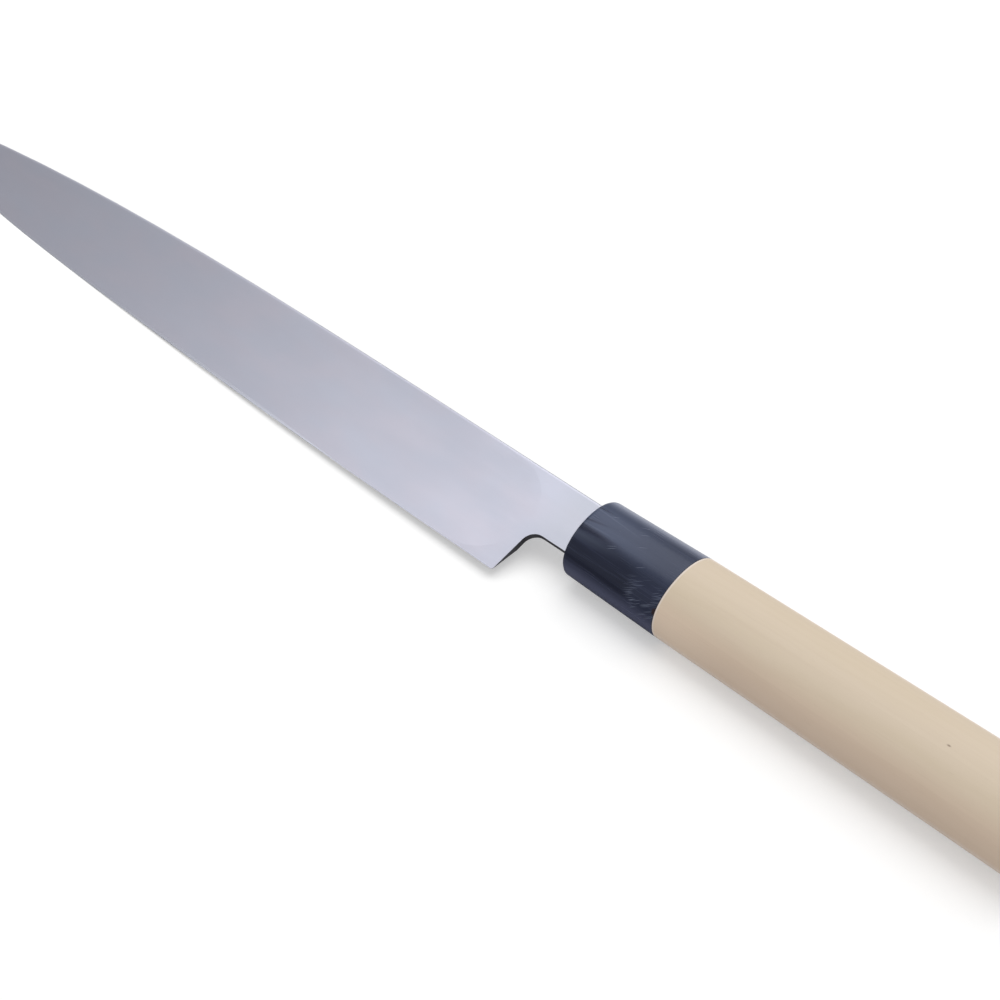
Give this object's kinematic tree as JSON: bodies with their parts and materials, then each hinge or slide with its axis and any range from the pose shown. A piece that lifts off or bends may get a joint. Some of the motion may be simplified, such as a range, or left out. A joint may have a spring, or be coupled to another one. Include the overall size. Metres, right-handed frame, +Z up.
{
  "type": "kitchen knife",
  "caption": "Long single-bevel slicing knife for raw fish, with a hollow-ground back, a dark horn ferrule and a pale wooden handle of chestnut section.",
  "frame": {"origin": "middle of the knife's box, at the height of the table it lies on", "axes": "+X along the knife towards the tip, +Y across it towards the cutting edge, +Z up from the table, on the side of the blade's hollow back"},
  "size_m": [0.3942, 0.0326, 0.0233],
  "materials": {
    "blade_steel": "fine satin, lapped lengthwise",
    "ferrule_horn": "polished black horn with faint lengthwise bands and fine scratches",
    "handle_wood": "bare sanded pale wood, fine straight grain",
    "bed_resin": "hardened resin"
  },
  "bodies": {
    "root": {"blade": "blade_steel", "ferrule": "ferrule_horn", "handle": "handle_wood", "tang_resin": "bed_resin"}
  },
  "joints": []
}
